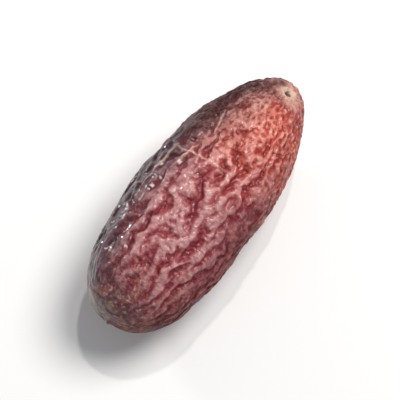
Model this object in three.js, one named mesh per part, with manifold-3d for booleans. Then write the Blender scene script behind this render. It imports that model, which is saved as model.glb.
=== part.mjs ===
// A medjool date lying on its side, as one closed solid: an oblong fruit with a blunt blossom end, a narrower
// stem end with a puckered scar, wandering furrows in its skin, and a small spot pressed flat where it rests.
// Millimetres, +Z up. +X runs along the fruit towards the stem end, and the resting spot lies at Z = 0.

import * as THREE from 'three';
import { mergeVertices } from 'three/addons/utils/BufferGeometryUtils.js';
import Module from 'manifold-3d';

const wasm = await Module();
wasm.setup();

// Driving dimensions.
const LENGTH = 50;
const WIDTH = 21.5;
const HEIGHT = 20.4;
const BLUNT_HALF_LENGTH = 24.5; // from the widest station to the blossom end
const BLUNT_POWER = 2.6; // superellipse power of the outline on the blossom side, where 2 is an ellipse
const STEM_POWER = 1.95; // the same on the stem side
const GIRTH_POWER = 2.15; // how square the cross-section is
const BOW = 0.6; // sideways bend of the ends against the middle
const BLUNT_SLANT = 0.1; // how far the blossom end is cut aslant, as a slope
const SURFACE_DETAIL = 23; // splits along each edge of the icosahedron that the surface starts from

// Furrows that run the length of the fruit and wander from side to side, and shorter ones that branch off them.
// Half-widths are those at full girth. Wavelengths are along the fruit. A furrow with gaps of 0 never lets up.
const furrowSets = [
  { count: 12, depth: 0.48, halfWidth: 1, wander: 1.2, wavelength: 15, gaps: 0.3, start: 0 },
  { count: 11, depth: 0.32, halfWidth: 0.8, wander: 2.1, wavelength: 10.5, gaps: 0.9, start: 0.7 },
];
const furrowFade = 3; // length over which every furrow dies out towards either end

// Broad hollows where the flesh has shrunk: how far along and how far round the fruit, in millimetres and degrees.
const hollows = [
  { along: 9, around: 62, length: 8, width: 5, depth: 0.8 },
  { along: -10, around: 128, length: 9, width: 4, depth: 0.5 },
  { along: 2, around: -20, length: 11, width: 3.5, depth: 0.7 },
  { along: -4, around: 200, length: 10, width: 4, depth: 0.7 },
  { along: 17, around: 150, length: 6, width: 4, depth: 0.5 },
];

// The scar where the stem's cap came off: a dimple with a raised rim, on a patch of skin that is flattened aslant.
// Its tilt is away from +X, and around says to which side. Both are in degrees. Flattened says how deep the patch is
// pressed, and firmness how near to flat it stays.
const stemScar = {
  tilt: 50, around: 112, flattened: 0.7, firmness: 0.85, radius: 1.3, dimple: 0.7, rim: 0.3, rimWidth: 0.5,
};

// The resting spot: how much of the height is pressed off, and how far above it the furrows come back.
const restingSpot = { pressed: 0.35, smoothHeight: 1.6 };

const smoothstep = (from, to, value) => THREE.MathUtils.smoothstep(value, from, to);
const bell = (distance, halfWidth) => Math.exp(-((distance / halfWidth) ** 2));

// A point of the plain oblong body, in the direction of a unit vector.
function bodyPoint(direction) {
  const power = direction.x < 0 ? BLUNT_POWER : STEM_POWER;
  const halfLength = direction.x < 0 ? BLUNT_HALF_LENGTH : LENGTH - BLUNT_HALF_LENGTH;
  const around = Math.hypot(direction.y, direction.z);
  const reach = (Math.abs(direction.x) ** power + around ** power) ** (-1 / power);
  const roundness = around > 0
    ? ((Math.abs(direction.y) / around) ** GIRTH_POWER + (Math.abs(direction.z) / around) ** GIRTH_POWER)
      ** (-1 / GIRTH_POWER)
    : 1;
  return new THREE.Vector3(
    direction.x * reach * halfLength,
    direction.y * reach * roundness * WIDTH / 2,
    direction.z * reach * roundness * HEIGHT / 2,
  );
}

// How far one furrow of a set has wandered sideways at a station x, and how steeply it goes there.
function wandering(set, k, x) {
  const slow = (2 * Math.PI) / set.wavelength;
  const quick = slow / 0.43;
  const slowPhase = slow * x + 2.4 * k;
  const quickPhase = quick * x + 1.3 * k * k;
  return {
    aside: set.wander * (Math.sin(slowPhase) + 0.5 * Math.sin(quickPhase)),
    slope: set.wander * (slow * Math.cos(slowPhase) + 0.5 * quick * Math.cos(quickPhase)),
  };
}

// How deep one set of furrows cuts at a station x, at an angle round the fruit. Where two cross, they don't add up.
function furrowSetDepth(set, x, angle) {
  const fullRadius = (WIDTH + HEIGHT) / 4;
  let uncut = 1;
  for (let k = 0; k < set.count; k += 1) {
    const { aside, slope } = wandering(set, k, x);
    const home = set.start + (2 * Math.PI * (k + 0.25 * Math.sin(5 * k))) / set.count;
    const turn = THREE.MathUtils.euclideanModulo(angle - home + Math.PI, 2 * Math.PI) - Math.PI;
    const distance = (turn * fullRadius - aside) / Math.hypot(1, slope);
    const ebb = 0.5 - 0.5 * Math.sin((2 * Math.PI * x) / (1.4 * set.wavelength) + 1.9 * k);
    uncut *= 1 - (1 - set.gaps * ebb) * bell(distance, set.halfWidth);
  }
  return set.depth * (1 - uncut);
}

// How deep all the furrows cut at a station x, on skin of radius r at an angle round the fruit.
function furrowDepth(x, r, angle) {
  const fullRadius = (WIDTH + HEIGHT) / 4;
  const inFromEnds = Math.min(x + BLUNT_HALF_LENGTH, LENGTH - BLUNT_HALF_LENGTH - x);
  const depth = furrowSets.reduce((sum, set) => sum + furrowSetDepth(set, x, angle), 0);
  return depth * Math.min(1, r / fullRadius) * smoothstep(0, furrowFade, inFromEnds);
}

function hollowDepth(x, r, angle) {
  return hollows.reduce((depth, hollow) => {
    const turn = angle - THREE.MathUtils.degToRad(hollow.around);
    const across = r * Math.atan2(Math.sin(turn), Math.cos(turn));
    return depth + hollow.depth * bell(x - hollow.along, hollow.length) * bell(across, hollow.width);
  }, 0);
}

// The way the stem scar faces, and the point of the body whose skin faces that way.
const scarAxis = new THREE.Vector3().setFromSphericalCoords(
  1,
  THREE.MathUtils.degToRad(stemScar.tilt),
  THREE.MathUtils.degToRad(stemScar.around),
);
scarAxis.set(scarAxis.y, scarAxis.z, scarAxis.x);
const scarCentre = bodyPoint(
  new THREE.Vector3(LENGTH - BLUNT_HALF_LENGTH, WIDTH / 2, HEIGHT / 2).multiply(scarAxis).normalize(),
);

// How far the stem scar moves the skin along its axis, at a distance from its centre.
function scarRise(distance) {
  return stemScar.rim * bell(distance - stemScar.radius, stemScar.rimWidth)
    - stemScar.dimple * bell(distance, stemScar.radius * 0.6);
}

// The skin of the fruit in the direction of a unit vector.
function skinPoint(direction) {
  const point = bodyPoint(direction);
  const r = Math.hypot(point.y, point.z);
  const angle = Math.atan2(point.z, point.y);
  const aboveSpot = point.z + HEIGHT / 2 - restingSpot.pressed;
  const wrinkled = smoothstep(0, restingSpot.smoothHeight, aboveSpot)
    * smoothstep(stemScar.radius, 2.5 * stemScar.radius, point.distanceTo(scarCentre));
  const depth = wrinkled * furrowDepth(point.x, r, angle) + hollowDepth(point.x, r, angle);
  const shrink = r > 0 ? Math.max(0, 1 - depth / r) : 1;
  const station = point.x / (LENGTH / 2);
  const surface = new THREE.Vector3(point.x, point.y * shrink, point.z * shrink);
  const aboveFlat = surface.dot(scarAxis) - scarCentre.dot(scarAxis) + stemScar.flattened;
  surface.addScaledVector(scarAxis, -stemScar.firmness * Math.max(0, aboveFlat));
  surface.addScaledVector(scarAxis, scarRise(surface.distanceTo(scarCentre)));
  surface.x -= BLUNT_SLANT * surface.y * smoothstep(0, 1, -station);
  surface.y -= BOW * station * station;
  return surface;
}

// A closed geometry with only positions and with its shared vertices merged, as a solid that can be cut.
function solidOf(geometry) {
  geometry.deleteAttribute('normal');
  geometry.deleteAttribute('uv');
  const merged = mergeVertices(geometry, 1e-4);
  return new wasm.Manifold(new wasm.Mesh({
    numProp: 3,
    vertProperties: new Float32Array(merged.getAttribute('position').array),
    triVerts: new Uint32Array(merged.getIndex().array),
  }));
}

function geometryOf(solid) {
  const mesh = solid.getMesh();
  const geometry = new THREE.BufferGeometry();
  geometry.setAttribute('position', new THREE.BufferAttribute(mesh.vertProperties, 3));
  geometry.setIndex(new THREE.BufferAttribute(mesh.triVerts, 1));
  return geometry;
}

// The fruit before anything is pressed flat, around the origin of its directions.
function fruitSolid() {
  const ball = new THREE.IcosahedronGeometry(1, SURFACE_DETAIL);
  const position = ball.getAttribute('position');
  for (let i = 0; i < position.count; i += 1) {
    const direction = new THREE.Vector3().fromBufferAttribute(position, i).normalize();
    const point = skinPoint(direction);
    position.setXYZ(i, point.x, point.y, point.z);
  }
  return solidOf(ball);
}

// The whole fruit, with the middle of its footprint over the origin and the resting spot at Z = 0.
function dateGeometry() {
  const under = new THREE.BoxGeometry(2 * LENGTH, 2 * WIDTH, HEIGHT);
  under.translate(0, 0, restingSpot.pressed - HEIGHT);
  const geometry = geometryOf(fruitSolid().subtract(solidOf(under)));
  geometry.computeBoundingBox();
  const { min, max } = geometry.boundingBox;
  geometry.translate(-(min.x + max.x) / 2, -(min.y + max.y) / 2, -min.z);
  geometry.computeVertexNormals();
  return geometry;
}

const skin = new THREE.MeshStandardMaterial({ color: 0x7a3a34, roughness: 0.45, metalness: 0 });

const date = new THREE.Mesh(dateGeometry(), skin);
date.name = 'date';

const medjoolDate = new THREE.Group();
medjoolDate.add(date);

export default medjoolDate;
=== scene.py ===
# A dried medjool date lying on a table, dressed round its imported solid.
# Metres, +Z up, the stem end towards +X. Names that end in Mm hold millimetres.

import math
from types import SimpleNamespace

import bpy
import numpy as np
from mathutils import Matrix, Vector


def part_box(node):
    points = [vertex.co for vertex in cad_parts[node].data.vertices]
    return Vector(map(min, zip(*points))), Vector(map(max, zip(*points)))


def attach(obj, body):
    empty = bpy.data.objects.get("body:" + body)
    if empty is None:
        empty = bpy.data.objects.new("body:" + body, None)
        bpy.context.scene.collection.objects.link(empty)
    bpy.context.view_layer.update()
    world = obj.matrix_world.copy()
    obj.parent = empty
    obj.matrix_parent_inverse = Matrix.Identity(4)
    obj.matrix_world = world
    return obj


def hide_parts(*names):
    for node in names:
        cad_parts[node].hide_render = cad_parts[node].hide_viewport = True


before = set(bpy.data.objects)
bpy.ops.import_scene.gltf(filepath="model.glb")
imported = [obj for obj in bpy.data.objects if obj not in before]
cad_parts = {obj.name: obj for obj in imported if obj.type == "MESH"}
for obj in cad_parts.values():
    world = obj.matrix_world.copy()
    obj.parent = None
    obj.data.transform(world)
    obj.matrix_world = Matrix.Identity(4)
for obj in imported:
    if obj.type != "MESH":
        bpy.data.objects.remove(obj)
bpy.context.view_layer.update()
scene = bpy.context.scene
mm = 0.001
nodeName = "date"
fruitLow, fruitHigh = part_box(nodeName)
fruitSize = fruitHigh - fruitLow
fruitMiddle = (fruitLow + fruitHigh) / 2
backAngle = math.radians(100.72)  # from +Y, about +X, to the middle of the fruit's back


def link(obj):
    scene.collection.objects.link(obj)
    return obj


# camera
camera = {
    "elevation": 72,  # degrees above the table
    "lean": 53,  # how steeply the fruit climbs the picture, stem end up and right
    "distance": 0.36,
    "lens": 200,
    "nearest": 0.01,  # nothing nearer to the lens is drawn
}


def addCamera():
    steep = math.radians(camera["elevation"])
    turn = math.atan(math.tan(math.radians(camera["lean"])) / math.sin(steep))
    away = -turn - math.pi / 2  # from +X to the way that the camera stands
    back = Vector((math.cos(away) * math.cos(steep), math.sin(away) * math.cos(steep), math.sin(steep)))
    lens = bpy.data.cameras.new("camera")
    lens.lens = camera["lens"]
    lens.clip_start = camera["nearest"]
    obj = link(bpy.data.objects.new("camera", lens))
    obj.location = fruitMiddle + back * camera["distance"]
    obj.rotation_euler = (-back).to_track_quat("-Z", "Y").to_euler()
    scene.camera = obj


addCamera()
print("camera placed")


# one socket of a node tree, with the usual operators
class Wire:
    def __init__(self, tree, socket):
        self.tree = tree
        self.socket = socket

    def math(self, operation, *others):
        return self.tree.math(operation, self, *others)

    def __add__(self, other):
        return self.math("ADD", other)

    def __radd__(self, other):
        return self.math("ADD", other)

    def __sub__(self, other):
        return self.math("SUBTRACT", other)

    def __rsub__(self, other):
        return self.tree.math("SUBTRACT", other, self)

    def __mul__(self, other):
        return self.math("MULTIPLY", other)

    def __rmul__(self, other):
        return self.math("MULTIPLY", other)

    def __truediv__(self, other):
        return self.math("DIVIDE", other)

    def clamped(self):
        return self.math("MAXIMUM", 0.0).math("MINIMUM", 1.0)


# a shader or geometry node tree that is written as expressions
class Tree:
    def __init__(self, tree):
        self.tree = tree

    def node(self, kind, settings=None, inputs=None):
        made = self.tree.nodes.new(kind)
        for name, value in (settings or {}).items():
            setattr(made, name, value)
        for key, value in (inputs or {}).items():
            self.feed(made.inputs[key], value)
        return made

    def feed(self, socket, value):
        if isinstance(value, Wire):
            self.tree.links.new(value.socket, socket)
        else:
            socket.default_value = value

    def wire(self, kind, settings=None, inputs=None, output=0):
        return Wire(self, self.node(kind, settings, inputs).outputs[output])

    def math(self, operation, *values):
        return self.wire("ShaderNodeMath", {"operation": operation}, dict(enumerate(values)))

    def vector(self, operation, *values):
        return self.wire("ShaderNodeVectorMath", {"operation": operation}, dict(enumerate(values)))

    def scaled(self, vector, factor):
        return self.wire("ShaderNodeVectorMath", {"operation": "SCALE"}, {0: vector, "Scale": factor})

    def between(self, low, high, value):  # 0 below low, 1 above high, smooth between
        return self.wire(
            "ShaderNodeMapRange",
            {"interpolation_type": "SMOOTHSTEP"},
            {"Value": value, "From Min": low, "From Max": high},
        )

    def mix(self, share, first, second):  # two colours, by the sockets that a colour mix uses
        made = self.node("ShaderNodeMix", {"data_type": "RGBA"}, {0: share, 6: first, 7: second})
        return Wire(self, made.outputs[2])

    def noise(self, place, scale, detail, roughness, distortion=0.0):
        values = {"Scale": scale, "Detail": detail, "Roughness": roughness, "Distortion": distortion}
        return self.wire("ShaderNodeTexNoise", {}, {"Vector": place, **values})

    def cells(self, place, feature, scale, **more):
        values = {"Vector": place, "Scale": scale, **more}
        return self.wire("ShaderNodeTexVoronoi", {"feature": feature}, values)


# the plump form: an even grid of quads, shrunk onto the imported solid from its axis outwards
form = {
    "cellsLong": 190,
    "cellsRound": 96,  # along each of the four sides
    "axisShare": 0.75,  # how near to the tips the rays start
    "rayLength": 1.0,  # farther than the solid reaches
    "smoothing": 30,  # rounds that even out the solid's facets
}


def formTree():
    group = bpy.data.node_groups.new("dateForm", "GeometryNodeTree")
    face = group.interface
    face.new_socket("Geometry", in_out="INPUT", socket_type="NodeSocketGeometry")
    for name, kind in (
        ("Solid", "Object"),
        ("Size", "Vector"),
        ("Middle", "Vector"),
        ("Cells Long", "Int"),
        ("Cells Round", "Int"),
        ("Axis Share", "Float"),
        ("Ray Length", "Float"),
        ("Smoothing", "Int"),
        ("Skin", "Material"),
    ):
        face.new_socket(name, in_out="INPUT", socket_type="NodeSocket" + kind)
    face.new_socket("Geometry", in_out="OUTPUT", socket_type="NodeSocketGeometry")
    t = Tree(group)
    given = {s.name: Wire(t, s) for s in t.node("NodeGroupInput").outputs if s.name}
    verticesRound = given["Cells Round"] + 1
    cube = t.wire(
        "GeometryNodeMeshCube",
        {},
        {
            "Size": (2, 2, 2),
            "Vertices X": given["Cells Long"] + 1,
            "Vertices Y": verticesRound,
            "Vertices Z": verticesRound,
        },
    )
    corner = t.node("ShaderNodeSeparateXYZ", {}, {0: t.wire("GeometryNodeInputPosition")})
    x, y, z = (Wire(t, s) for s in corner.outputs)

    def rounded(own, second, third):  # one coordinate of a cube point when the cube is blown up to a ball
        a = second * second
        b = third * third
        return own * (1 - (a + b) / 2 + a * b / 3).math("MAXIMUM", 0.0).math("SQRT")

    ball = t.wire("ShaderNodeCombineXYZ", {}, {0: rounded(x, y, z), 1: rounded(y, z, x), 2: rounded(z, x, y)})
    outer = t.vector("MULTIPLY", ball, t.scaled(given["Size"], 0.5))
    start = t.scaled(t.vector("MULTIPLY", outer, (1, 0, 0)), given["Axis Share"])
    hit = t.wire(
        "GeometryNodeRaycast",
        {"data_type": "FLOAT"},
        {
            "Target Geometry": t.wire("GeometryNodeObjectInfo", {}, {"Object": given["Solid"]}, "Geometry"),
            "Source Position": t.vector("ADD", start, given["Middle"]),
            "Ray Direction": t.vector("SUBTRACT", outer, start),
            "Ray Length": given["Ray Length"],
        },
        "Hit Position",
    )
    landed = t.wire("GeometryNodeSetPosition", {}, {"Geometry": cube, "Position": hit})
    even = t.wire(
        "GeometryNodeBlurAttribute",
        {"data_type": "FLOAT_VECTOR"},
        {"Value": t.wire("GeometryNodeInputPosition"), "Iterations": given["Smoothing"]},
    )
    smooth = t.wire("GeometryNodeSetPosition", {}, {"Geometry": landed, "Position": even})
    shaded = t.wire("GeometryNodeSetShadeSmooth", {}, {"Geometry": smooth})
    real = t.wire("GeometryNodeRealizeInstances", {}, {"Geometry": shaded})
    painted = t.wire("GeometryNodeSetMaterial", {}, {"Geometry": real, "Material": given["Skin"]})
    t.node("NodeGroupOutput", {}, {"Geometry": painted})
    return group


def bakedNodes(name, group, values):  # a plain mesh object from a geometry node tree
    holder = link(bpy.data.objects.new(name + "Holder", bpy.data.meshes.new(name + "Holder")))
    modifier = holder.modifiers.new("nodes", "NODES")
    modifier.node_group = group
    sockets = {i.name: i.identifier for i in group.interface.items_tree if i.in_out == "INPUT"}
    for key, value in values.items():
        modifier[sockets[key]] = value
    holder.update_tag()
    graph = bpy.context.evaluated_depsgraph_get()
    mesh = bpy.data.meshes.new_from_object(holder.evaluated_get(graph), depsgraph=graph)
    mesh.name = name
    holder.modifiers.clear()
    bpy.data.objects.remove(holder)
    return link(bpy.data.objects.new(name, mesh))


def pointsOf(mesh):
    flat = np.empty(len(mesh.vertices) * 3)
    mesh.vertices.foreach_get("co", flat)
    return flat.reshape(-1, 3)


def normalsOf(mesh):
    flat = np.empty(len(mesh.vertices) * 3, np.float32)
    mesh.vertex_normals.foreach_get("vector", flat)
    return flat.reshape(-1, 3).astype(float)


def setAttribute(mesh, name, values):
    made = mesh.attributes.new(name, "FLOAT", "POINT")
    made.data.foreach_set("value", values.astype(np.float32))


def smoothstep(low, high, value):
    share = np.clip((value - low) / (high - low), 0, 1)
    return share * share * (3 - 2 * share)


def bell(distance, halfWidth):
    return np.exp(-((distance / halfWidth) ** 2))


# the skin: a stiff sheet that grew to fit a plump fruit and buckled as the flesh under it shrank
skin = {
    "lengthMm": 60.0,  # from tip to tip over the back
    "girthMm": 66.0,
    "cellsLong": 360,  # of the grid that the buckling is worked out on
    "cellsRound": 400,
    "wrinkleMm": 2.25,  # from ridge to ridge where the skin is thickest
    "thinnest": 0.42,  # share of the full thickness
    "shrinkLong": 0.1,  # share of its length that the flesh lost
    "shrinkRound": 0.26,  # and of its girth
    "patchMm": 2.8,  # size of the patches that shrank more or less than their neighbours
    "patchiness": 0.45,
    "stretchStiffness": 40.0,
    "sideways": 0.3,  # how much the skin narrows when it is stretched
    "softUp": 0.6,  # how much easier the skin lifts than sinks into the flesh
    "hardening": 0.15,
    "lumps": 0.65,  # how uneven the flesh is
    "lumpSize": 0.2,  # against the wrinkles
    "startHeight": 0.5,  # of the skin's own lumps, against its thickness
    "steps": 300,
    "quickSteps": 60,
    "shrinking": 0.2,  # share of the steps over which the flesh shrinks
    "timeStep": 0.25,
    "damping": 14.0,
    "finestWave": 0.67,  # share of the grid's own finest, past which nothing is pushed
    "seed": 12,
}

# where the skin is thick or shrank less, in millimetres from the blunt tip, and in cosines of the angle from
# the middle of the back or of a flank
skinZones = {
    "wobbleSizeMm": 4.0,  # of the zones' ragged edges
    "wobbleMm": 2.0,
    "wobbleTurn": 0.15,
    "back": (0.1, 0.8),
    "flank": (0.35, 0.95),
    "flankDegrees": 70,
    "middleStart": (5, 12),
    "middleEnd": (33, 44),
    "stemEnd": (36, 48),
    "underneath": 0.8,  # thickness there, against the back's
    "sides": 0.35,  # and on the sides
    "rightThinner": 0.3,
    "flankLengthKept": 0.45,  # share of the shrinkage that a flank is spared
    "rightGirthLost": 0.15,
    "stemLengthLost": 0.15,
    "stemGirthKept": 0.1,
}


def skinWaves(finer=1):  # wave numbers per mm along and round the unrolled skin
    rows, columns = finer * skin["cellsLong"], finer * skin["cellsRound"]
    waveLong = 2 * np.pi * np.fft.fftfreq(rows, skin["lengthMm"] / rows)[:, None]
    return waveLong, 2 * np.pi * np.fft.rfftfreq(columns, skin["girthMm"] / columns)[None, :]


def blurredNoise(rng, waveLong, waveRound, reach):
    shape = (waveLong.shape[0], 2 * (waveRound.shape[1] - 1))
    spectrum = np.fft.rfft2(rng.standard_normal(shape))
    field = np.fft.irfft2(spectrum * np.exp(-0.5 * (waveLong**2 + waveRound**2) * reach**2), s=shape)
    return (field - field.mean()) / field.std()


def skinPlan(rng, waveLong, waveRound):  # thickness and shrinkage over the unrolled skin
    rows, columns = skin["cellsLong"], skin["cellsRound"]
    zones = skinZones
    s = np.arange(rows)[:, None] / rows * skin["lengthMm"] + np.zeros((1, columns))
    angle = np.arange(columns)[None, :] / columns * 2 * np.pi + np.zeros((rows, 1))
    wobble = blurredNoise(rng, waveLong, waveRound, zones["wobbleSizeMm"])
    s = s + zones["wobbleMm"] * wobble
    towardsBack = np.cos(angle - backAngle + zones["wobbleTurn"] * wobble)
    back = smoothstep(*zones["back"], towardsBack)  # where the ridges are broadest
    under = zones["underneath"] * smoothstep(*zones["back"], -towardsBack)
    aside = math.radians(zones["flankDegrees"])
    rightFlank = smoothstep(*zones["flank"], np.cos(angle - backAngle - aside))
    leftFlank = smoothstep(*zones["flank"], np.cos(angle - backAngle + aside))
    middle = smoothstep(*zones["middleStart"], s) * (1 - smoothstep(*zones["middleEnd"], s))
    stemEnd = smoothstep(*zones["stemEnd"], s)
    thick = middle * (zones["sides"] + (1 - zones["sides"]) * np.maximum(back, under))
    thickness = skin["thinnest"] + (1 - skin["thinnest"]) * thick
    thickness = np.maximum(thickness * (1 - zones["rightThinner"] * rightFlank * middle), skin["thinnest"])
    shrinkLong = skin["shrinkLong"] * (1 - zones["flankLengthKept"] * (rightFlank + leftFlank))
    shrinkLong = shrinkLong * (1 + zones["stemLengthLost"] * stemEnd)
    shrinkRound = skin["shrinkRound"] * (1 + zones["rightGirthLost"] * rightFlank)
    shrinkRound = shrinkRound * (1 - zones["stemGirthKept"] * stemEnd)
    return thickness, shrinkLong, shrinkRound


def shrivelledSkin():  # height and thickness of the buckled skin in mm, over the unrolled fruit
    rng = np.random.default_rng(skin["seed"])
    shape = (skin["cellsLong"], skin["cellsRound"])
    unit = 2 * np.pi / skin["wrinkleMm"]
    mmLong, mmRound = skinWaves()
    waveLong, waveRound = mmLong / unit, mmRound / unit
    square = waveLong**2 + waveRound**2
    fourth = square**2
    inverse = np.where(fourth > 0, 1 / np.maximum(fourth, 1e-12), 0)
    finest = skin["finestWave"]
    resolved = (np.abs(waveLong) < finest * np.abs(waveLong).max()) & (waveRound < finest * waveRound.max())
    thickness, shrinkLong, shrinkRound = skinPlan(rng, mmLong, mmRound)
    patches = [1 + skin["patchiness"] * blurredNoise(rng, mmLong, mmRound, skin["patchMm"]) for _ in range(2)]
    shrinkLong, shrinkRound = shrinkLong * patches[0], shrinkRound * patches[1]
    lumpMm = skin["lumpSize"] * skin["wrinkleMm"]
    coarse = blurredNoise(rng, mmLong, mmRound, lumpMm)
    fine = blurredNoise(rng, mmLong, mmRound, lumpMm * skin["thinnest"])
    thick = (thickness - skin["thinnest"]) / (1 - skin["thinnest"])
    lumps = coarse * thick + fine * (1 - thick)
    bed = 1 / thickness**2  # stiffness of the flesh against the skin
    bend = thickness**2
    load = skin["lumps"] * bed * thickness * lumps
    height = skin["startHeight"] * thickness * lumps
    sideways, step = skin["sideways"], skin["timeStep"]
    steps = skin["steps"]
    damping = skin["damping"] * square
    divisor = 1 + step * (fourth + bed.max() + damping)
    stretch = skin["stretchStiffness"]
    stretchLevel = stretch / (1 - sideways**2)

    def forward(field):
        return np.fft.rfft2(field)

    def back(spectrum):
        return np.fft.irfft2(spectrum, s=shape)

    def mean(spectrum):
        return spectrum[0, 0].real / (shape[0] * shape[1])

    for count in range(steps):
        grown = min(1, (count + 1) / (skin["shrinking"] * steps))
        spectrum = forward(height)
        slopeLong, slopeRound = back(1j * waveLong * spectrum), back(1j * waveRound * spectrum)
        strainLong = forward(0.5 * slopeLong**2 - grown * shrinkLong)
        strainRound = forward(0.5 * slopeRound**2 - grown * shrinkRound)
        shear = forward(0.5 * slopeLong * slopeRound)
        misfit = waveRound**2 * strainLong + waveLong**2 * strainRound - 2 * waveLong * waveRound * shear
        airy = -stretch * inverse * misfit
        meanLong, meanRound = mean(strainLong), mean(strainRound)
        pullLong = back(-(waveRound**2) * airy) + stretchLevel * (meanLong + sideways * meanRound)
        pullRound = back(-(waveLong**2) * airy) + stretchLevel * (meanRound + sideways * meanLong)
        pullShear = back(waveLong * waveRound * airy) + stretch / (1 + sideways) * mean(shear)
        push = 1j * waveLong * forward(pullLong * slopeLong + pullShear * slopeRound)
        push = push + 1j * waveRound * forward(pullShear * slopeLong + pullRound * slopeRound)
        own = height / thickness
        local = (1 - bend) * back(fourth * spectrum) + (bed.max() - bed) * height + load
        local = local - bed * thickness * (skin["softUp"] * own**2 + skin["hardening"] * own**3)
        spectrum = spectrum + step * resolved * (push + forward(local)) + step * damping * spectrum
        height = back(spectrum / divisor)
    return height / unit, thickness / unit


def doubled(field):  # the same periodic field on a grid twice as fine
    rows, columns = field.shape
    top, left = rows // 2, columns // 2
    wide = np.zeros((2 * rows, 2 * columns), complex)
    wide[top : top + rows, left : left + columns] = np.fft.fftshift(np.fft.fft2(field))
    return np.fft.ifft2(np.fft.ifftshift(wide)).real * 4


def sampled(field, sMm, roundMm):  # bilinear, and periodic both ways
    rows, columns = field.shape
    u = (sMm / skin["lengthMm"] * rows) % rows
    v = (roundMm / skin["girthMm"] * columns) % columns
    i, j = np.floor(u).astype(int), np.floor(v).astype(int)
    fu, fv = u - i, v - j
    i, j = i % rows, j % columns
    k, m = (i + 1) % rows, (j + 1) % columns
    low = field[i, j] * (1 - fv) + field[i, m] * fv
    high = field[k, j] * (1 - fv) + field[k, m] * fv
    return low * (1 - fu) + high * fu


# how the buckled skin is laid on the fruit
wrinkles = {
    "jogMm": 0.25,  # how far the ridges' edges stray sideways
    "jogSizeMm": 0.42,  # and over what distance
    "swell": 0.3,  # share of the buckled height that shows
    "ridgeMm": 0.18,  # how far the flat-topped ridges stand above the floor, on the thickest skin
    "ridgeEdge": (0.2, 0.6),  # share of the skin that lies lower than the foot and the top of a ridge
    "grooveMm": 0.12,  # depth of the grooves in that floor
    "grooveShare": 0.24,  # share of the skin that lies in grooves
    "ripple": 0.26,  # height of finer ripples, against the buckled skin's
    "rippleZoom": 2,  # how many times finer they are
    "rippleShiftMm": 17.0,  # so that they don't repeat the ridges
    "calmMm": (4.0, 17.0),  # from the blunt tip, where the ridges are lower
    "calmest": 0.2,  # share of their height that is left at the tip
    "capMm": (5.5, 9.5),  # from either tip, where the skin is drawn flat over the end, not round the fruit
    "capHomeMm": 20,  # where round the unrolled skin that piece is taken from
    "pressedMm": (0, 1.2),  # above the table, where the wrinkles are pressed out
    "pressedFacing": (-0.95, -0.8),  # the upward part of the skin's normal there
    "seed": 11,
}

# the fine lumps that roughen the skin
pebbles = {
    "heightMm": 0.05,
    "sizeMm": 0.62,
    "coarser": 1.7,  # size of the larger ones against that
    "coarseShare": 0.4,
    "spread": 0.4,  # how much their sizes differ
    "peak": 0.7,  # how much the tall ones stand out
    "tallest": 3.5,
    "scarShare": 0.4,  # how much of them is left on the stem scar
    "tautSkin": (0.5, 0.95),  # thickness over which they fade, against the thickest
    "tautFade": 0.6,  # and how much of them fades
    "leftFlank": (0.3, 0.8),  # sine of the angle from the middle of the back, to the left
    "leftFlankEnd": (0.5, 0.7),  # share of the length from the blunt tip
    "leftFlankFade": 0.9,
    "calmFade": 0.7,
}

# the scar that the stem's cap left, facing aslant at the stem end
scar = {
    "tilt": 50,  # degrees away from the fruit's axis
    "around": 112,  # and to which side
    "widest": 0.49,  # share of the length from the blunt tip, where the fruit is widest
    "deepestMm": 3,  # under the scar's plane, past which skin doesn't count as near it
    "radiusMm": 1.05,
    "oval": 1.3,  # how much longer than wide
    "rimMm": 0.3,
    "rimWidthMm": 0.36,
    "pitMm": 0.55,
    "pitRadiusMm": 0.5,
    "puckers": 13,
    "puckerMm": 0.09,
    "puckerEdge": (0.5, 1.4),  # of the radius
    "puckerBend": 1.5,
    "reachMm": 2.8,
}

# the patch round it that the cap left pale, with an edge that stands up from a crease
capPatch = {
    "halfLengthMm": 2.2,
    "oval": 0.45,  # its length against its width
    "noseShare": 0.4,  # what a millimetre over the fruit's nose counts for, so that it reaches farther there
    "ragged": 0.25,
    "stepMm": 0.1,
    "stepEdge": (0.85, 1.1),  # of the half length
    "creaseMm": 0.16,
    "creaseWidth": 0.13,
}

# the small dry point that the flower left at the blunt tip, in a shallow moat
blossom = {"heightMm": 0.45, "radiusMm": 0.7, "moatMm": 0.2, "moatPlace": 2}

# thin raised creases with a painted highlight along them, each from one place to another: share of the length
# from the blunt tip, and degrees from the middle of the back
creases = {
    "widthMm": 0.16,
    "heightMm": 0.08,
    "wanderMm": 0.06,
    "thinnest": 0.3,  # towards their ends
    "lines": (
        ((0.66, -32), (0.75, -44)),
        ((0.57, -60), (0.58, 6)),
        ((0.44, -60), (0.58, -56)),
        ((0.52, -42), (0.61, -39)),
    ),
}


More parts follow.
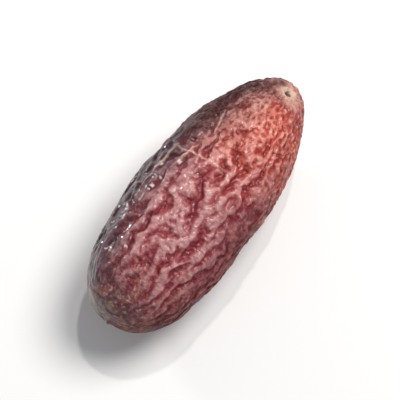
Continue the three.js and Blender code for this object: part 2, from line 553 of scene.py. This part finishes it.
def skinCoordinates(points):  # distance over the back from the blunt tip, and angle about the fruit's axis
    slices = 60
    bow = np.polyfit(points[:, 0], points[:, 1], 2)
    y = points[:, 1] - np.polyval(bow, points[:, 0])
    z = points[:, 2] - fruitMiddle.z
    r = np.hypot(y, z)
    angle = np.arctan2(z, y)
    station = (points[:, 0] - fruitMiddle.x) / (fruitSize.x / 2)
    turn = np.arctan2(r / r.max(), -station)  # 0 at the blunt tip, pi at the stem
    bins = np.linspace(0, np.pi, slices + 1)
    which = np.clip(np.digitize(turn, bins) - 1, 0, slices - 1)
    counts = np.bincount(which, minlength=slices)
    profileX = np.bincount(which, points[:, 0], slices) / counts
    profileR = np.bincount(which, r, slices) / counts
    middles = (bins[1:] + bins[:-1]) / 2
    arc = np.concatenate([[0], np.cumsum(np.hypot(np.diff(profileX), np.diff(profileR)))])
    arc = arc + profileR[0]
    s = np.interp(turn, middles, arc)
    end = turn < middles[0]
    s[end] = r[end]
    total = arc[-1] + profileR[-1]
    stem = turn > middles[-1]
    s[stem] = total - r[stem]
    return s / mm, angle, total / mm


def overFruit(s, angle, total):  # a reader of fields on the unrolled skin at the fruit's points
    girth = angle / (2 * np.pi) * skin["girthMm"]
    blunt = 1 - smoothstep(*wrinkles["capMm"], s)
    stem = 1 - smoothstep(*wrinkles["capMm"], total - s)
    body = 1 - blunt - stem
    weight = np.sqrt(blunt**2 + stem**2 + body**2)

    def read(field, zoom=1, jog=(0, 0)):
        shift = wrinkles["rippleShiftMm"] * (zoom - 1)
        value = np.zeros_like(s)
        for share, reach, home in ((blunt, s, 0.0), (stem, total - s, total)):
            u = home + reach * np.cos(angle) + jog[0]
            v = wrinkles["capHomeMm"] + reach * np.sin(angle) + jog[1]
            value += share * sampled(field, zoom * u + shift, zoom * v)
        value += body * sampled(field, zoom * (s + jog[0]) + shift, zoom * (girth + jog[1]))
        return value / weight

    return read


def ranked(values):  # the share of the skin that lies lower
    order = np.empty(len(values))
    order[np.argsort(values, kind="stable")] = np.arange(len(values))
    return order / len(values)


def centred(values):
    return values - values.mean()


def pebbled(rng, sizeMm):  # scattered lumps over the unrolled skin
    mmLong, mmRound = skinWaves(2)
    shape = (2 * skin["cellsLong"], 2 * skin["cellsRound"])
    wave = np.hypot(mmLong, mmRound) * sizeMm / np.pi  # 1 at the lumps' own size
    spectrum = np.fft.rfft2(rng.standard_normal(shape)) * bell(wave - 1, pebbles["spread"])
    field = np.fft.irfft2(spectrum, s=shape)
    return np.minimum(np.exp(pebbles["peak"] * field / field.std()), pebbles["tallest"])


def pebbleShare(share, angle, thick, calm, scarFree):  # less on taut skin, the left flank, either end
    taut = pebbles["tautFade"] * smoothstep(*pebbles["tautSkin"], thick)
    flank = smoothstep(*pebbles["leftFlank"], -np.sin(angle - backAngle))
    flank = pebbles["leftFlankFade"] * flank * (1 - smoothstep(*pebbles["leftFlankEnd"], share))
    smooth = np.maximum.reduce([taut, flank, pebbles["calmFade"] * (1 - calm)])
    return (pebbles["scarShare"] + (1 - pebbles["scarShare"]) * scarFree) * (1 - smooth)


def ridgeRelief(crest, lift, ripples, thick):  # broad ridges with flat tops, grooves and ripples, in mm
    groove = 1 - smoothstep(0, wrinkles["grooveShare"], crest)
    ridge = smoothstep(*wrinkles["ridgeEdge"], crest)
    relief = wrinkles["swell"] * centred(lift) + wrinkles["ridgeMm"] * thick * centred(ridge)
    relief = relief - wrinkles["grooveMm"] * thick * centred(groove)
    return relief + wrinkles["ripple"] * thick * centred(ripples)


def scarPlace(points):  # how far aside and along from the middle of the stem scar, in mm
    tilt, around = math.radians(scar["tilt"]), math.radians(scar["around"])
    facing = Vector((math.cos(tilt), math.sin(tilt) * math.cos(around), math.sin(tilt) * math.sin(around)))
    widest = Vector((fruitLow.x + scar["widest"] * fruitSize.x, fruitMiddle.y, fruitMiddle.z))
    half = Vector(((1 - scar["widest"]) * fruitSize.x, fruitSize.y / 2, fruitSize.z / 2))
    aim = Vector(a * b * b for a, b in zip(facing, half)).normalized()
    away = points - np.array(widest)
    centre = points[np.argmax(away @ np.array(aim) / np.linalg.norm(away, axis=1))]
    level = facing.cross(Vector((0, 0, 1))).normalized()
    up = level.cross(facing)
    offset = (points - centre) / mm
    depth = np.maximum(0, -offset @ np.array(facing) - scar["deepestMm"])
    return np.hypot(offset @ np.array(level), depth), offset @ np.array(level), offset @ np.array(up)


def scarDistances(points, jogMm):  # in mm from the scar, the turn round it, and against the cap's patch
    aside, across, along = scarPlace(points)
    scarAway = np.hypot(aside, along / scar["oval"])
    capLong = np.where(along < 0, capPatch["noseShare"] * along, along)
    capAway = np.hypot(aside * capPatch["oval"], capLong) / capPatch["halfLengthMm"]
    return scarAway, np.arctan2(along, across), capAway + capPatch["ragged"] * jogMm


def scarRelief(away, turn, free):  # rim, pit and puckers, in mm
    rim = bell(away - scar["radiusMm"], scar["rimWidthMm"])
    pit = np.exp(-((away / scar["pitRadiusMm"]) ** 4))
    puckers = np.cos(scar["puckers"] * turn + scar["puckerBend"] * np.sin(2 * turn))
    puckers = puckers * smoothstep(*scar["puckerEdge"], away / scar["radiusMm"]) * (1 - free)
    return scar["rimMm"] * rim - scar["pitMm"] * pit + scar["puckerMm"] * puckers


def capRelief(away):  # the step and crease at the edge of the cap's patch, in mm
    step = 1 - smoothstep(*capPatch["stepEdge"], away)
    crease = bell(away - capPatch["stepEdge"][1], capPatch["creaseWidth"])
    return capPatch["stepMm"] * step - capPatch["creaseMm"] * crease


def blossomRelief(s):  # in mm
    fromTip = s / blossom["radiusMm"]
    moat = bell(fromTip - blossom["moatPlace"], 1)
    return blossom["heightMm"] * bell(fromTip, 1) - blossom["moatMm"] * moat


def nearCreases(s, total, turn, radiusMm):  # 1 on a pale crease, 0 away from it
    found = np.zeros_like(s)
    for start, end in creases["lines"]:
        middle = math.radians((start[1] + end[1]) / 2)
        u0, v0 = start[0] * total, math.radians(start[1]) - middle
        u1, v1 = end[0] * total, math.radians(end[1]) - middle
        across = np.sin(turn - middle) * radiusMm
        v0, v1 = math.sin(v0) * radiusMm, math.sin(v1) * radiusMm
        du, dv = u1 - u0, v1 - v0
        share = ((s - u0) * du + (across - v0) * dv) / (du**2 + dv**2)
        inside = np.clip(share, 0, 1)
        away = np.hypot(s - u0 - inside * du, across - v0 - inside * dv)
        away = away + 10 * (np.cos(turn - middle) < 0)  # not on the far side
        taper = creases["thinnest"] + (1 - creases["thinnest"]) * np.sin(np.pi * inside)
        found = np.maximum(found, taper * bell(away, creases["widthMm"]))
    return found


def wrinkledSkin(mesh):  # moves the form's points and stores the measures that the finish reads
    rng = np.random.default_rng(wrinkles["seed"])
    points, normals = pointsOf(mesh), normalsOf(mesh)
    s, angle, total = skinCoordinates(points)
    print("skin length over the back, mm:", round(total, 1))
    height, thickness = (doubled(field) for field in shrivelledSkin())
    read = overFruit(s, angle, total)
    stray = [read(blurredNoise(rng, *skinWaves(), wrinkles["jogSizeMm"])) for _ in range(2)]
    jog = [wrinkles["jogMm"] * aside for aside in stray]
    crest = ranked(read(height / thickness, 1, jog))
    thick = sampled(thickness / thickness.max(), s, angle / (2 * np.pi) * skin["girthMm"])
    ripples = read(height, wrinkles["rippleZoom"])
    coarse = read(pebbled(rng, pebbles["coarser"] * pebbles["sizeMm"]))
    fine = read(pebbled(rng, pebbles["sizeMm"]))
    grain = (1 - pebbles["coarseShare"]) * fine + pebbles["coarseShare"] * coarse
    calm = smoothstep(*wrinkles["calmMm"], s)

    scarAway, scarTurn, capAway = scarDistances(points, jog[0])
    scarFree = smoothstep(scar["radiusMm"], scar["reachMm"], scarAway)
    crease = nearCreases(
        s + creases["wanderMm"] * stray[0],
        total,
        angle - backAngle + creases["wanderMm"] * stray[1] / (fruitSize.y / 2 / mm),
        np.hypot(points[:, 1], points[:, 2] - fruitMiddle.z) / mm,
    )
    move = ridgeRelief(crest, read(height, 1, jog), ripples, thick)
    move = move * scarFree * (wrinkles["calmest"] + (1 - wrinkles["calmest"]) * calm)
    move = move + pebbles["heightMm"] * centred(grain) * pebbleShare(s / total, angle, thick, calm, scarFree)
    move = move + scarRelief(scarAway, scarTurn, scarFree) + capRelief(capAway)
    move = move + blossomRelief(s) + creases["heightMm"] * crease
    free = smoothstep(*wrinkles["pressedMm"], points[:, 2] / mm)  # of the table
    free = np.maximum(free, smoothstep(*wrinkles["pressedFacing"], normals[:, 2]))
    points = points + normals * (move * free)[:, None] * mm
    points[:, 2] = np.maximum(points[:, 2], 0)
    mesh.vertices.foreach_set("co", points.ravel())
    mesh.update()
    measures = {
        "crest": crest,
        "grain": ranked(grain),
        "along": s / total,
        "side": np.sin(angle - backAngle),
        "facing": np.cos(angle - backAngle),
        "scar": scarAway,
        "cap": capAway,
        "crease": crease,
    }
    for name, values in measures.items():
        setAttribute(mesh, name, values)


# the skin's finish
def tint(red, green, blue):  # an everyday 0 to 255 colour as the shader's linear one
    def linear(part):
        part = part / 255
        return part / 12.92 if part <= 0.04045 else ((part + 0.055) / 1.055) ** 2.4

    return (linear(red), linear(green), linear(blue), 1.0)


# each zone's flesh and the bloom on its ridges, and the warmer pair that some turn to towards the stem;
# the right, left and far pairs are painted shade, darker where the flanks turn away, and the end pair is
# partly the blunt end's own darker tone and partly painted shade
zoneTints = {
    "body": {
        # the body's bloom is partly the skin's own bloom and partly painted sheen
        "cool": (tint(138, 60, 66), tint(174, 126, 126)),
        "warm": (tint(174, 70, 56), tint(214, 138, 124)),
    },
    "tip": {"cool": (tint(128, 38, 32), tint(164, 88, 78))},
    # painted shade: the right flank darker and redder
    "right": {"cool": (tint(56, 4, 10), tint(124, 52, 56))},
    # painted shade: the left flank darker and greyer, darkest at its far edge
    "left": {"cool": (tint(32, 10, 18), tint(78, 46, 58)), "warm": (tint(50, 10, 12), tint(98, 50, 48))},
    "far": {"cool": (tint(22, 10, 18), tint(60, 44, 58)), "warm": (tint(28, 8, 10), tint(60, 34, 38))},
    # the blunt end darker: partly its own tone, partly painted shade
    "end": {"cool": (tint(64, 26, 34), tint(104, 68, 76))},
}

tints = {
    # the valleys' colour is partly the skin's own and partly painted shade in the grooves and between the
    # lumps
    "valley": tint(110, 32, 41),
    "warmValley": tint(128, 34, 22),
    "orange": tint(190, 66, 22),
    "pale": tint(200, 158, 150),
    "amber": tint(150, 84, 46),
    "papery": tint(150, 132, 112),
    "dust": tint(206, 176, 170),
    "honey": tint(208, 156, 88),
    "capPale": tint(184, 146, 136),
    "capDark": tint(128, 76, 72),
    "capEdge": tint(84, 40, 42),
    "scarPale": tint(208, 178, 158),
    # painted highlight along the raised creases
    "crease": tint(232, 200, 182),
    "dry": tint(112, 84, 62),
    "scarDark": tint(48, 22, 16),
}

# how much of each colour is laid on at most
cover = {
    "tip": 0.75,
    # the right, left, far and end colours are painted shade, the end's partly the skin's own tone
    "right": 0.85,
    "left": 0.85,
    "far": 0.85,
    "end": 0.8,
    "endValley": 0.8,
    "orange": 0.6,
    "pale": 0.5,
    "amber": 0.75,
    "papery": 0.75,
    "flecks": 0.7,
    "gaps": 0.6,
    "cap": 0.7,
    "capEdge": 0.7,
    "scar": 0.5,
    "crease": 0.5,
    "dry": 0.85,
    "plain": 0.6,  # how much less the colour follows the ridges at either end
    "dust": 0.18,
    "dustRough": 0.3,  # and how much more there is on rough skin
}

# how the zones change one another
zoneShares = {
    # how far the painted shade of the left flank and its far edge reaches up the back
    "leftUp": {"stem": 0.18, "tip": 0.2, "lower": 0.1},  # how much farther up the back the dark flank reaches
    "farUp": {"stem": (0.18, 0.1), "tip": 0.18},
    # the right's colour is painted shade; the end's is partly so
    "rightFade": 0.5,  # how much of the right's colour is missing at the stem
    "endFade": 0.9,  # and of the blunt end's colour on the right
    # dust shows less on the flanks' painted shade
    "dull": {"left": 0.8, "right": 0.6},  # how much of the dust is missing
    "rough": {"least": 0.38, "left": 0.4, "blunt": 0.5},  # where lumps blur the ridges, 1 at the stem
}

# what makes a place count as high, beside its ridge
heights = {
    "plain": 0.45,
    "lumps": 0.4,
    "blotch": 0.35,
    "blotchStem": 0.35,  # and so much more at the stem
    "speck": 0.36,
    "speckRough": 0.35,
}

# the masks' soft edges, each 0 at its first number and 1 at its second; one named off is where a mask ends
edges = {
    # share of the length from the blunt tip
    "stem": (0.44, 0.76),
    "tip": (0.76, 0.92),
    "offBlunt": (0.05, 0.27),
    "offLower": (0.12, 0.34),
    "offPlainBlunt": (0.08, 0.34),
    "plainStem": (0.62, 0.84),
    "paleStart": (0.6, 0.8),
    "offPapery": (0.03, 0.15),
    "offDry": (0.008, 0.022),
    # cosine of the angle from the middle of the back
    "offUnder": (-0.95, -0.35),
    "offLeft": (0.5, 0.98),
    "offFar": (0.32, 0.82),
    "offRight": (0.5, 0.97),
    "offWax": (0.6, 0.95),
    # its sine, -1 on the left flank and 1 on the right
    "rightHalf": (-0.3, 0.3),
    "orangeSide": (-0.2, 0.4),
    "paleSide": (-0.85, -0.6),
    "offPaleSide": (-0.35, 0.1),
    "offPaperySide": (-0.2, 0.4),
    "capSide": (0.1, 0.7),
    "offCapEdgeSide": (0.0, 0.6),
    # height on the ridges and lumps
    "body": (0.0, 0.36),
    "top": (0.24, 0.86),
    "dust": (0.75, 1.05),
    "offGap": (0.05, 0.4),
    # the noises
    "orange": (0.0, 0.25),
    "pale": (-0.15, 0.12),
    "amber": (0.0, 0.2),
    "papery": (-0.1, 0.15),
    "offFleck": (0.12, 0.3),
    "fleckPatch": (0.0, 0.12),
    "honey": (-0.02, 0.1),
    "mottle": (-0.25, 0.02),
    # distance from the stem scar, against the cap's patch or in millimetres
    "offCap": (0.8, 1.15),
    "capEdge": (0.9, 1.1),
    "offCapEdge": (1.1, 1.4),
    "offScar": (0.9, 1.7),
    "offPit": (0.3, 0.65),
}

# scale, detail, roughness and distortion of the noises
patterns = {
    "cloud": (90, 3, 0.55),  # broad patches, about 10 mm
    "blotch": (330, 4, 0.65),
    "speck": (1700, 3, 0.7),
    "honey": (420, 2, 0.5),
    "crinkle": (1100, 5, 0.65, 0.6),
}

# how far the cloud and blotch noises shift the measures that the zones are read from
ragged = {"along": (0.22, 0.1), "side": (0.4, 0.3), "facing": (0.25, 0.2)}

# the surface itself
gloss = {
    "roughness": 0.36,
    "rougher": {"blotch": 0.3, "top": 0.12, "cap": 0.2},
    "coat": 0.3,
    "coatMore": {"left": 0.7, "blunt": 0.15},  # glossiest on the blunt half of the left flank
    "coatLess": {"far": 0.25, "right": 0.28, "cap": 0.7},
    "coatRoughness": 0.1,
    "specular": 0.15,
    "fleckScale": 1000,
    "bumpScale": 1900,
    "bumpSoftness": 0.4,
    "bumpDepth": 0.0006,
    "underSkin": 0.12,  # share of the light that goes into the flesh
    "underSkinDepth": 0.0006,
    "underSkinReach": (1.0, 0.28, 0.16),
    "sheen": 0.02,
    "sheenRoughness": 0.45,
    "sheenTint": (0.8, 0.74, 0.76, 1.0),
}


def edge(t, name, value):
    return t.between(*edges[name], value)


def skinReadings(t):  # the skin's stored measures, three noises about 0, and masks of its zones
    def stored(name):
        return t.wire("ShaderNodeAttribute", {"attribute_name": name}, {}, "Fac")

    def noise(name):
        return t.noise(at.place, *patterns[name]) - 0.5

    def shifted(name):
        cloudShare, blotchShare = ragged[name]
        return stored(name) + cloudShare * at.cloud + blotchShare * at.blotch

    at = SimpleNamespace()
    at.place = t.wire("ShaderNodeTexCoord", {}, {}, "Object")
    at.cloud, at.blotch, at.speck = map(noise, ("cloud", "blotch", "speck"))
    at.crest, at.grain, at.length = map(stored, ("crest", "grain", "along"))
    at.scar, at.cap, at.crease = map(stored, ("scar", "cap", "crease"))
    at.along, at.side, at.facing = map(shifted, ("along", "side", "facing"))

    at.stem = edge(t, "stem", at.along)
    at.tip = edge(t, "tip", at.along)
    at.blunt = 1 - edge(t, "offBlunt", at.along)
    lower = 1 - edge(t, "offLower", at.along)
    aboveUnder = edge(t, "offUnder", at.facing)  # 0 underneath
    rightHalf = edge(t, "rightHalf", at.side)
    at.leftHalf = (1 - rightHalf) * aboveUnder
    # the left flank's painted shade, reaching farther up the back towards the stem
    up = zoneShares["leftUp"]
    facing = at.facing - up["stem"] * at.stem - up["tip"] * at.tip - up["lower"] * lower
    at.left = (1 - edge(t, "offLeft", facing)) * at.leftHalf
    # the painted shade along the left flank's far edge
    low, high = edges["offFar"]
    up = zoneShares["farUp"]
    facing = at.facing - up["tip"] * at.tip
    at.far = 1 - t.between(low + up["stem"][0] * at.stem, high + up["stem"][1] * at.stem, facing)
    at.far = at.far * at.leftHalf
    # the right flank's painted shade
    at.right = (1 - edge(t, "offRight", at.facing)) * rightHalf * aboveUnder
    at.right = at.right * (1 - zoneShares["rightFade"] * at.stem)
    # 1 away from the flanks' painted shade
    dull = zoneShares["dull"]
    at.lit = 1 - dull["left"] * at.left - dull["right"] * at.right  # where the skin is pale with dust
    rough = zoneShares["rough"]
    blurred = at.stem + rough["left"] * at.left + rough["blunt"] * at.blunt
    at.rough = (rough["least"] + (1 - rough["least"]) * blurred).clamped()
    at.mottle = edge(t, "mottle", at.blotch + 0.8 * at.speck)
    return at


# in the right, left and far zones the pair is painted shade, and at the blunt end partly so
def zonePair(t, at, name):  # flesh and bloom
    cool = zoneTints[name]["cool"]
    warm = zoneTints[name].get("warm")
    return [t.mix(at.stem, *pair) for pair in zip(cool, warm)] if warm else cool


# the valleys' colour is partly painted shade in the grooves, the ridges' bloom partly painted sheen, and the
# flanks' and blunt end's zone colours painted shade
def ridgeColour(t, at):  # dark valleys, flesh on the slopes and bloom on the ridges, zone by zone
    shares = {
        "tip": at.tip,
        "right": at.right,
        "left": at.left,
        "far": at.far,
        "end": at.blunt * (1 - zoneShares["endFade"] * at.right),
    }
    fleshAndShade, bloomSheenAndShade = zonePair(t, at, "body")
    for name, share in shares.items():
        zoneFleshAndShade, zoneBloomAndShade = zonePair(t, at, name)
        fleshAndShade = t.mix(cover[name] * share, fleshAndShade, zoneFleshAndShade)
        bloomSheenAndShade = t.mix(cover[name] * share, bloomSheenAndShade, zoneBloomAndShade)
    # valley colour, partly painted shade in the grooves; darker still on the left flank and blunt end
    valley = t.mix(at.stem, tints["valley"], tints["warmValley"])
    endFleshAndShade = zoneTints["end"]["cool"][0]
    at.valley = t.mix(cover["endValley"] * (at.left + at.blunt).clamped(), valley, endFleshAndShade)

    plain = cover["plain"] * (1 - edge(t, "offPlainBlunt", at.along) + edge(t, "plainStem", at.along))
    height = at.crest * (1 - plain) + heights["plain"] * plain
    height = height + heights["lumps"] * at.rough * (at.grain - 0.5)
    height = height + (heights["blotch"] + heights["blotchStem"] * at.stem) * at.blotch
    height = height + (heights["speck"] + heights["speckRough"] * at.rough) * at.speck
    at.top = edge(t, "top", height)
    colour = t.mix(edge(t, "body", height), at.valley, fleshAndShade)
    # bloom on the ridge tops, partly painted sheen
    return t.mix(at.top * (0.88 + 0.9 * at.cloud).clamped(), colour, bloomSheenAndShade)


def patchColour(t, at, colour):  # patches of orange, amber and paper, then dust and flecks
    orange = edge(t, "orange", at.blotch + 0.4 * at.cloud) * at.stem * at.lit
    orange = orange * (0.2 + 0.8 * edge(t, "orangeSide", at.side))
    colour = t.mix(cover["orange"] * orange, colour, tints["orange"])
    pale = edge(t, "pale", at.blotch + 0.5 * at.speck) * edge(t, "paleStart", at.along) * (1 - 0.4 * at.tip)
    pale = pale * edge(t, "paleSide", at.side) * (1 - edge(t, "offPaleSide", at.side))
    colour = t.mix(cover["pale"] * pale, colour, tints["pale"])
    amber = edge(t, "amber", at.blotch + 0.5 * at.cloud) * at.blunt
    colour = t.mix(cover["amber"] * amber, colour, tints["amber"])
    papery = edge(t, "papery", 0.8 * at.cloud - at.blotch) * (1 - edge(t, "offPapery", at.along))
    papery = papery * (1 - edge(t, "offPaperySide", at.side))
    colour = t.mix(cover["papery"] * papery, colour, tints["papery"])

    dust = edge(t, "dust", at.grain + 0.9 * at.speck + 0.4 * at.blotch) * (0.4 + 0.6 * at.top)
    dusty = (cover["dust"] + cover["dustRough"] * at.rough) * dust * at.lit
    colour = t.mix(dusty, colour, tints["dust"])
    flecks = 1 - edge(t, "offFleck", t.cells(at.place, "F1", gloss["fleckScale"]))
    flecks = flecks * edge(t, "fleckPatch", at.blotch + 0.3 * at.speck) * at.lit
    flecks = flecks * (0.4 + 0.6 * at.stem + 0.5 * at.blunt).clamped()
    honey = edge(t, "honey", t.noise(at.place, *patterns["honey"]) - 0.5)  # flecks are honey or dust
    colour = t.mix(cover["flecks"] * flecks, colour, t.mix(honey, tints["dust"], tints["honey"]))
    # the low gaps between lumps take the valley colour, partly painted shade
    gap = 1 - edge(t, "offGap", at.grain + 0.5 * at.speck)
    return t.mix(cover["gaps"] * at.rough * gap, colour, at.valley)


def endColour(t, at, colour):  # the cap's patch, the stem scar, the pale creases and the dry point
    away = at.cap + 0.5 * at.blotch + 0.4 * at.speck + 0.4 * edge(t, "capSide", at.side)
    at.capped = 1 - edge(t, "offCap", away)
    capTint = t.mix(at.mottle, tints["capDark"], tints["capPale"])
    colour = t.mix(cover["cap"] * at.capped * (1 - 0.6 * at.left), colour, capTint)
    rim = edge(t, "capEdge", away) * (1 - edge(t, "offCapEdge", away))
    rim = rim * (1 - edge(t, "offCapEdgeSide", at.side))
    colour = t.mix(cover["capEdge"] * rim, colour, tints["capEdge"])
    scarred = 1 - edge(t, "offScar", at.scar + 1.5 * at.blotch + 2.0 * at.speck)
    colour = t.mix(cover["scar"] * scarred * (1 + 0.5 * at.mottle), colour, tints["scarPale"])
    # the creases' pale colour is a painted highlight along their raised folds
    colour = t.mix(cover["crease"] * at.crease, colour, tints["crease"])
    dry = 1 - edge(t, "offDry", at.length + 0.01 * at.speck)
    colour = t.mix(cover["dry"] * dry, colour, tints["dry"])
    return t.mix(1 - edge(t, "offPit", at.scar + 0.8 * at.speck), colour, tints["scarDark"])


def skinBump(t, at):  # the finest roughness, fainter on the waxy left flank
    pits = t.cells(at.place, "SMOOTH_F1", gloss["bumpScale"], Smoothness=gloss["bumpSoftness"])
    relief = 0.6 * t.noise(at.place, *patterns["crinkle"]) - 0.4 * pits + 0.4 * at.speck
    waxy = at.leftHalf * (1 - at.stem) * (1 - edge(t, "offWax", at.facing))
    relief = relief * (0.45 + 0.55 * at.rough) * (1 - 0.8 * waxy)
    return t.wire("ShaderNodeBump", {}, {"Strength": 1.0, "Distance": gloss["bumpDepth"], "Height": relief})


def newMaterial(name):
    material = bpy.data.materials.new(name)
    material.use_nodes = True
    material.node_tree.nodes.clear()
    return material, Tree(material.node_tree)


def skinMaterial():
    material, t = newMaterial("dateSkin")
    at = skinReadings(t)
    colour = endColour(t, at, patchColour(t, at, ridgeColour(t, at)))
    rougher, more, less = gloss["rougher"], gloss["coatMore"], gloss["coatLess"]
    roughness = gloss["roughness"] + rougher["blotch"] * at.blotch + rougher["top"] * at.top
    coat = gloss["coat"] + at.left * (more["left"] - at.stem) + more["blunt"] * at.blunt * (1 - at.right)
    coat = coat - less["far"] * at.far * (1 - at.stem) - less["right"] * at.right
    shader = t.wire(
        "ShaderNodeBsdfPrincipled",
        {},
        {
            "Base Color": colour,
            "Roughness": (roughness + rougher["cap"] * at.capped).clamped(),
            "Subsurface Weight": gloss["underSkin"],
            "Subsurface Radius": gloss["underSkinReach"],
            "Subsurface Scale": gloss["underSkinDepth"],
            "Specular IOR Level": gloss["specular"],
            "Coat Weight": coat.clamped() * (1 - less["cap"] * at.capped),
            "Coat Roughness": gloss["coatRoughness"],
            "Sheen Weight": gloss["sheen"],
            "Sheen Roughness": gloss["sheenRoughness"],
            "Sheen Tint": gloss["sheenTint"],
            "Normal": skinBump(t, at),
        },
    )
    t.node("ShaderNodeOutputMaterial", {}, {"Surface": shader})
    return material


def addDate():
    obj = bakedNodes(
        "dateSkin",
        formTree(),
        {
            "Solid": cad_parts[nodeName],
            "Size": tuple(fruitSize),
            "Middle": tuple(fruitMiddle),
            "Cells Long": form["cellsLong"],
            "Cells Round": form["cellsRound"],
            "Axis Share": form["axisShare"],
            "Ray Length": form["rayLength"],
            "Smoothing": form["smoothing"],
            "Skin": skinMaterial(),
        },
    )
    print("form made:", len(obj.data.vertices), "points")
    wrinkledSkin(obj.data)
    print("skin wrinkled")
    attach(obj, "root")
    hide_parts(nodeName)


addDate()

# table and light
studio = {
    "tableWidth": 1.2,
    "tableColour": (0.7, 0.7, 0.7, 1),
    "tableRoughness": 0.7,
    "sky": (0.93, 0.95, 1.0, 1.0),
    "skyStrength": 0.34,
}

# size is across and high, where is from the middle of the fruit
lamps = {
    "window": {
        "size": (0.28, 0.28),
        "power": 3.25,
        "colour": (1.0, 0.98, 0.95),
        "where": (0.26, -0.12, 0.46),
    },
    "sun": {
        "size": (0.025, 0.025),
        "power": 0.62,
        "colour": (1.0, 0.98, 0.95),
        "where": (0.2, 0.06, 0.46),
    },
    "sparkle": {
        "size": (0.1, 0.012),
        "power": 0.55,
        "colour": (1.0, 0.98, 0.96),
        "where": (0.02, 0.37, 0.09),
    },
}


def tableMaterial():
    material, t = newMaterial("table")
    look = {"Base Color": studio["tableColour"], "Roughness": studio["tableRoughness"]}
    t.node("ShaderNodeOutputMaterial", {}, {"Surface": t.wire("ShaderNodeBsdfPrincipled", {}, look)})
    return material


def addTable():
    half = studio["tableWidth"] / 2
    corners = [(-half, -half, 0), (half, -half, 0), (half, half, 0), (-half, half, 0)]
    mesh = bpy.data.meshes.new("table")
    mesh.from_pydata(corners, [], [(0, 1, 2, 3)])
    mesh.materials.append(tableMaterial())
    link(bpy.data.objects.new("table", mesh))


def addLamp(name, size, power, colour, where):
    lamp = bpy.data.lights.new(name, "AREA")
    lamp.shape = "ELLIPSE"
    lamp.size, lamp.size_y = size
    lamp.energy = power
    lamp.color = colour
    obj = link(bpy.data.objects.new(name, lamp))
    obj.visible_camera = False
    obj.location = fruitMiddle + Vector(where)
    obj.rotation_euler = Vector(where).to_track_quat("Z", "Y").to_euler()


def addLight():
    world = bpy.data.worlds.new("studio")
    scene.world = world
    world.use_nodes = True
    ground = world.node_tree.nodes["Background"]
    ground.inputs["Color"].default_value = studio["sky"]
    ground.inputs["Strength"].default_value = studio["skyStrength"]
    for name, lamp in lamps.items():
        addLamp(name, **lamp)
    scene.view_settings.view_transform = "Standard"


addTable()
addLight()
print("table and light placed")
